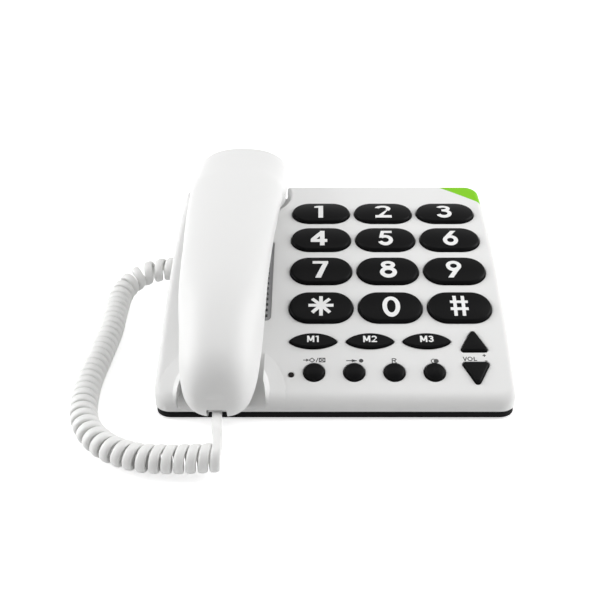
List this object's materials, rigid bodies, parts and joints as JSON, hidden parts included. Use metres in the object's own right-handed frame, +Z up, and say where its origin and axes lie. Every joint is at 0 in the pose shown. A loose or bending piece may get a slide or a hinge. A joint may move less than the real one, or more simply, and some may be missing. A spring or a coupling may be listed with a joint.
{
  "type": "corded telephone",
  "caption": "Corded desk telephone with a low curved wedge base, large domed digit keys, a handset across its left side and a curly cord.",
  "frame": {"origin": "on the table, under the middle of the box that holds the base and the handset, without the cord", "axes": "+X to the user's right, +Y to the rear of the base, +Z up"},
  "size_m": [0.2352, 0.2564, 0.083],
  "materials": {
    "casing_white": "satin, finely speckled",
    "cover_black": "satin",
    "foot_rubber": "matt",
    "screw_steel": "zinc plated",
    "accent_green": "satin gloss",
    "grille_grey": "matt",
    "lens_dark": "gloss",
    "mat_silicone": "matt",
    "board_green": "satin",
    "inner_plastic": "satin",
    "plug_clear": "clear gloss",
    "cord_white": "satin",
    "weight_steel": "bare",
    "key_black": "satin gloss"
  },
  "bodies": {
    "base": {"base_top_shell": "casing_white", "base_bottom_cover": "cover_black", "rubber_feet": "foot_rubber", "cover_screws": "screw_steel", "corner_accent": "accent_green", "speaker_grille": "grille_grey", "indicator_lens": "lens_dark", "key_mat": "mat_silicone", "keypad_membrane": "board_green", "main_circuit_board": "board_green", "ringer_speaker": "inner_plastic", "hook_spring": "screw_steel", "hook_switch": "inner_plastic", "handset_cord_jack": "inner_plastic", "line_cord_jack": "inner_plastic", "base_cord_plug": "plug_clear", "handset_cord": "cord_white"},
    "handset": {"handset_upper_shell": "casing_white", "handset_lower_shell": "casing_white", "handset_plug_socket": "inner_plastic", "receiver_capsule": "inner_plastic", "microphone_capsule": "inner_plastic", "handset_weight": "weight_steel", "handset_screws": "screw_steel", "handset_cord_plug": "plug_clear"},
    "hook": {"hook_plunger": "casing_white"},
    "key_1": {"key_1": "key_black"},
    "key_2": {"key_2": "key_black"},
    "key_3": {"key_3": "key_black"},
    "key_4": {"key_4": "key_black"},
    "key_5": {"key_5": "key_black"},
    "key_6": {"key_6": "key_black"},
    "key_7": {"key_7": "key_black"},
    "key_8": {"key_8": "key_black"},
    "key_9": {"key_9": "key_black"},
    "key_star": {"key_star": "key_black"},
    "key_0": {"key_0": "key_black"},
    "key_hash": {"key_hash": "key_black"},
    "memory_key_1": {"memory_key_1": "key_black"},
    "memory_key_2": {"memory_key_2": "key_black"},
    "memory_key_3": {"memory_key_3": "key_black"},
    "store_key": {"store_key": "key_black"},
    "redial_key": {"redial_key": "key_black"},
    "recall_key": {"recall_key": "key_black"},
    "mute_key": {"mute_key": "key_black"},
    "volume_up_key": {"volume_up_key": "key_black"},
    "volume_down_key": {"volume_down_key": "key_black"}
  },
  "joints": [
    {"name": "handset_lift", "type": "slide", "parent": "base", "child": "handset", "axis": [0, 0, 1], "range_m": [0, 0.06], "deforming": ["handset_cord"]},
    {"name": "hook_press", "type": "slide", "parent": "base", "child": "hook", "axis": [0, 0, 1], "range_m": [0, 0.0035], "deforming": ["hook_spring"]},
    {"name": "key_1_press", "type": "slide", "parent": "base", "child": "key_1", "axis": [0, 0.0936, -0.9956], "range_m": [0, 0.0015], "stiffness_N_per_m": 400, "springref_m": -0.0005},
    {"name": "key_2_press", "type": "slide", "parent": "base", "child": "key_2", "axis": [0, 0.0936, -0.9956], "range_m": [0, 0.0015], "stiffness_N_per_m": 400, "springref_m": -0.0005},
    {"name": "key_3_press", "type": "slide", "parent": "base", "child": "key_3", "axis": [0, 0.0936, -0.9956], "range_m": [0, 0.0015], "stiffness_N_per_m": 400, "springref_m": -0.0005},
    {"name": "key_4_press", "type": "slide", "parent": "base", "child": "key_4", "axis": [0, 0.1623, -0.9867], "range_m": [0, 0.0015], "stiffness_N_per_m": 400, "springref_m": -0.0005},
    {"name": "key_5_press", "type": "slide", "parent": "base", "child": "key_5", "axis": [0, 0.1623, -0.9867], "range_m": [0, 0.0015], "stiffness_N_per_m": 400, "springref_m": -0.0005},
    {"name": "key_6_press", "type": "slide", "parent": "base", "child": "key_6", "axis": [0, 0.1623, -0.9867], "range_m": [0, 0.0015], "stiffness_N_per_m": 400, "springref_m": -0.0005},
    {"name": "key_7_press", "type": "slide", "parent": "base", "child": "key_7", "axis": [0, 0.2302, -0.9731], "range_m": [0, 0.0015], "stiffness_N_per_m": 400, "springref_m": -0.0005},
    {"name": "key_8_press", "type": "slide", "parent": "base", "child": "key_8", "axis": [0, 0.2302, -0.9731], "range_m": [0, 0.0015], "stiffness_N_per_m": 400, "springref_m": -0.0005},
    {"name": "key_9_press", "type": "slide", "parent": "base", "child": "key_9", "axis": [0, 0.2302, -0.9731], "range_m": [0, 0.0015], "stiffness_N_per_m": 400, "springref_m": -0.0005},
    {"name": "key_star_press", "type": "slide", "parent": "base", "child": "key_star", "axis": [0, 0.2971, -0.9549], "range_m": [0, 0.0015], "stiffness_N_per_m": 400, "springref_m": -0.0005},
    {"name": "key_0_press", "type": "slide", "parent": "base", "child": "key_0", "axis": [0, 0.2971, -0.9549], "range_m": [0, 0.0015], "stiffness_N_per_m": 400, "springref_m": -0.0005},
    {"name": "key_hash_press", "type": "slide", "parent": "base", "child": "key_hash", "axis": [0, 0.2971, -0.9549], "range_m": [0, 0.0015], "stiffness_N_per_m": 400, "springref_m": -0.0005},
    {"name": "memory_key_1_press", "type": "slide", "parent": "base", "child": "memory_key_1", "axis": [0, 0.3503, -0.9366], "range_m": [0, 0.0015], "stiffness_N_per_m": 400, "springref_m": -0.0005},
    {"name": "memory_key_2_press", "type": "slide", "parent": "base", "child": "memory_key_2", "axis": [0, 0.3503, -0.9366], "range_m": [0, 0.0015], "stiffness_N_per_m": 400, "springref_m": -0.0005},
    {"name": "memory_key_3_press", "type": "slide", "parent": "base", "child": "memory_key_3", "axis": [0, 0.3503, -0.9366], "range_m": [0, 0.0015], "stiffness_N_per_m": 400, "springref_m": -0.0005},
    {"name": "store_key_press", "type": "slide", "parent": "base", "child": "store_key", "axis": [0, 0.3937, -0.9192], "range_m": [0, 0.0015], "stiffness_N_per_m": 400, "springref_m": -0.0005},
    {"name": "redial_key_press", "type": "slide", "parent": "base", "child": "redial_key", "axis": [0, 0.3937, -0.9192], "range_m": [0, 0.0015], "stiffness_N_per_m": 400, "springref_m": -0.0005},
    {"name": "recall_key_press", "type": "slide", "parent": "base", "child": "recall_key", "axis": [0, 0.3937, -0.9192], "range_m": [0, 0.0015], "stiffness_N_per_m": 400, "springref_m": -0.0005},
    {"name": "mute_key_press", "type": "slide", "parent": "base", "child": "mute_key", "axis": [0, 0.3937, -0.9192], "range_m": [0, 0.0015], "stiffness_N_per_m": 400, "springref_m": -0.0005},
    {"name": "volume_up_key_press", "type": "slide", "parent": "base", "child": "volume_up_key", "axis": [0, 0.3503, -0.9366], "range_m": [0, 0.0015], "stiffness_N_per_m": 400, "springref_m": -0.0005},
    {"name": "volume_down_key_press", "type": "slide", "parent": "base", "child": "volume_down_key", "axis": [0, 0.3948, -0.9188], "range_m": [0, 0.0015], "stiffness_N_per_m": 400, "springref_m": -0.0005}
  ],
  "couplings": [
    {"joint": "hook_press", "follows": "handset_lift", "ratio": 0.05833}
  ]
}
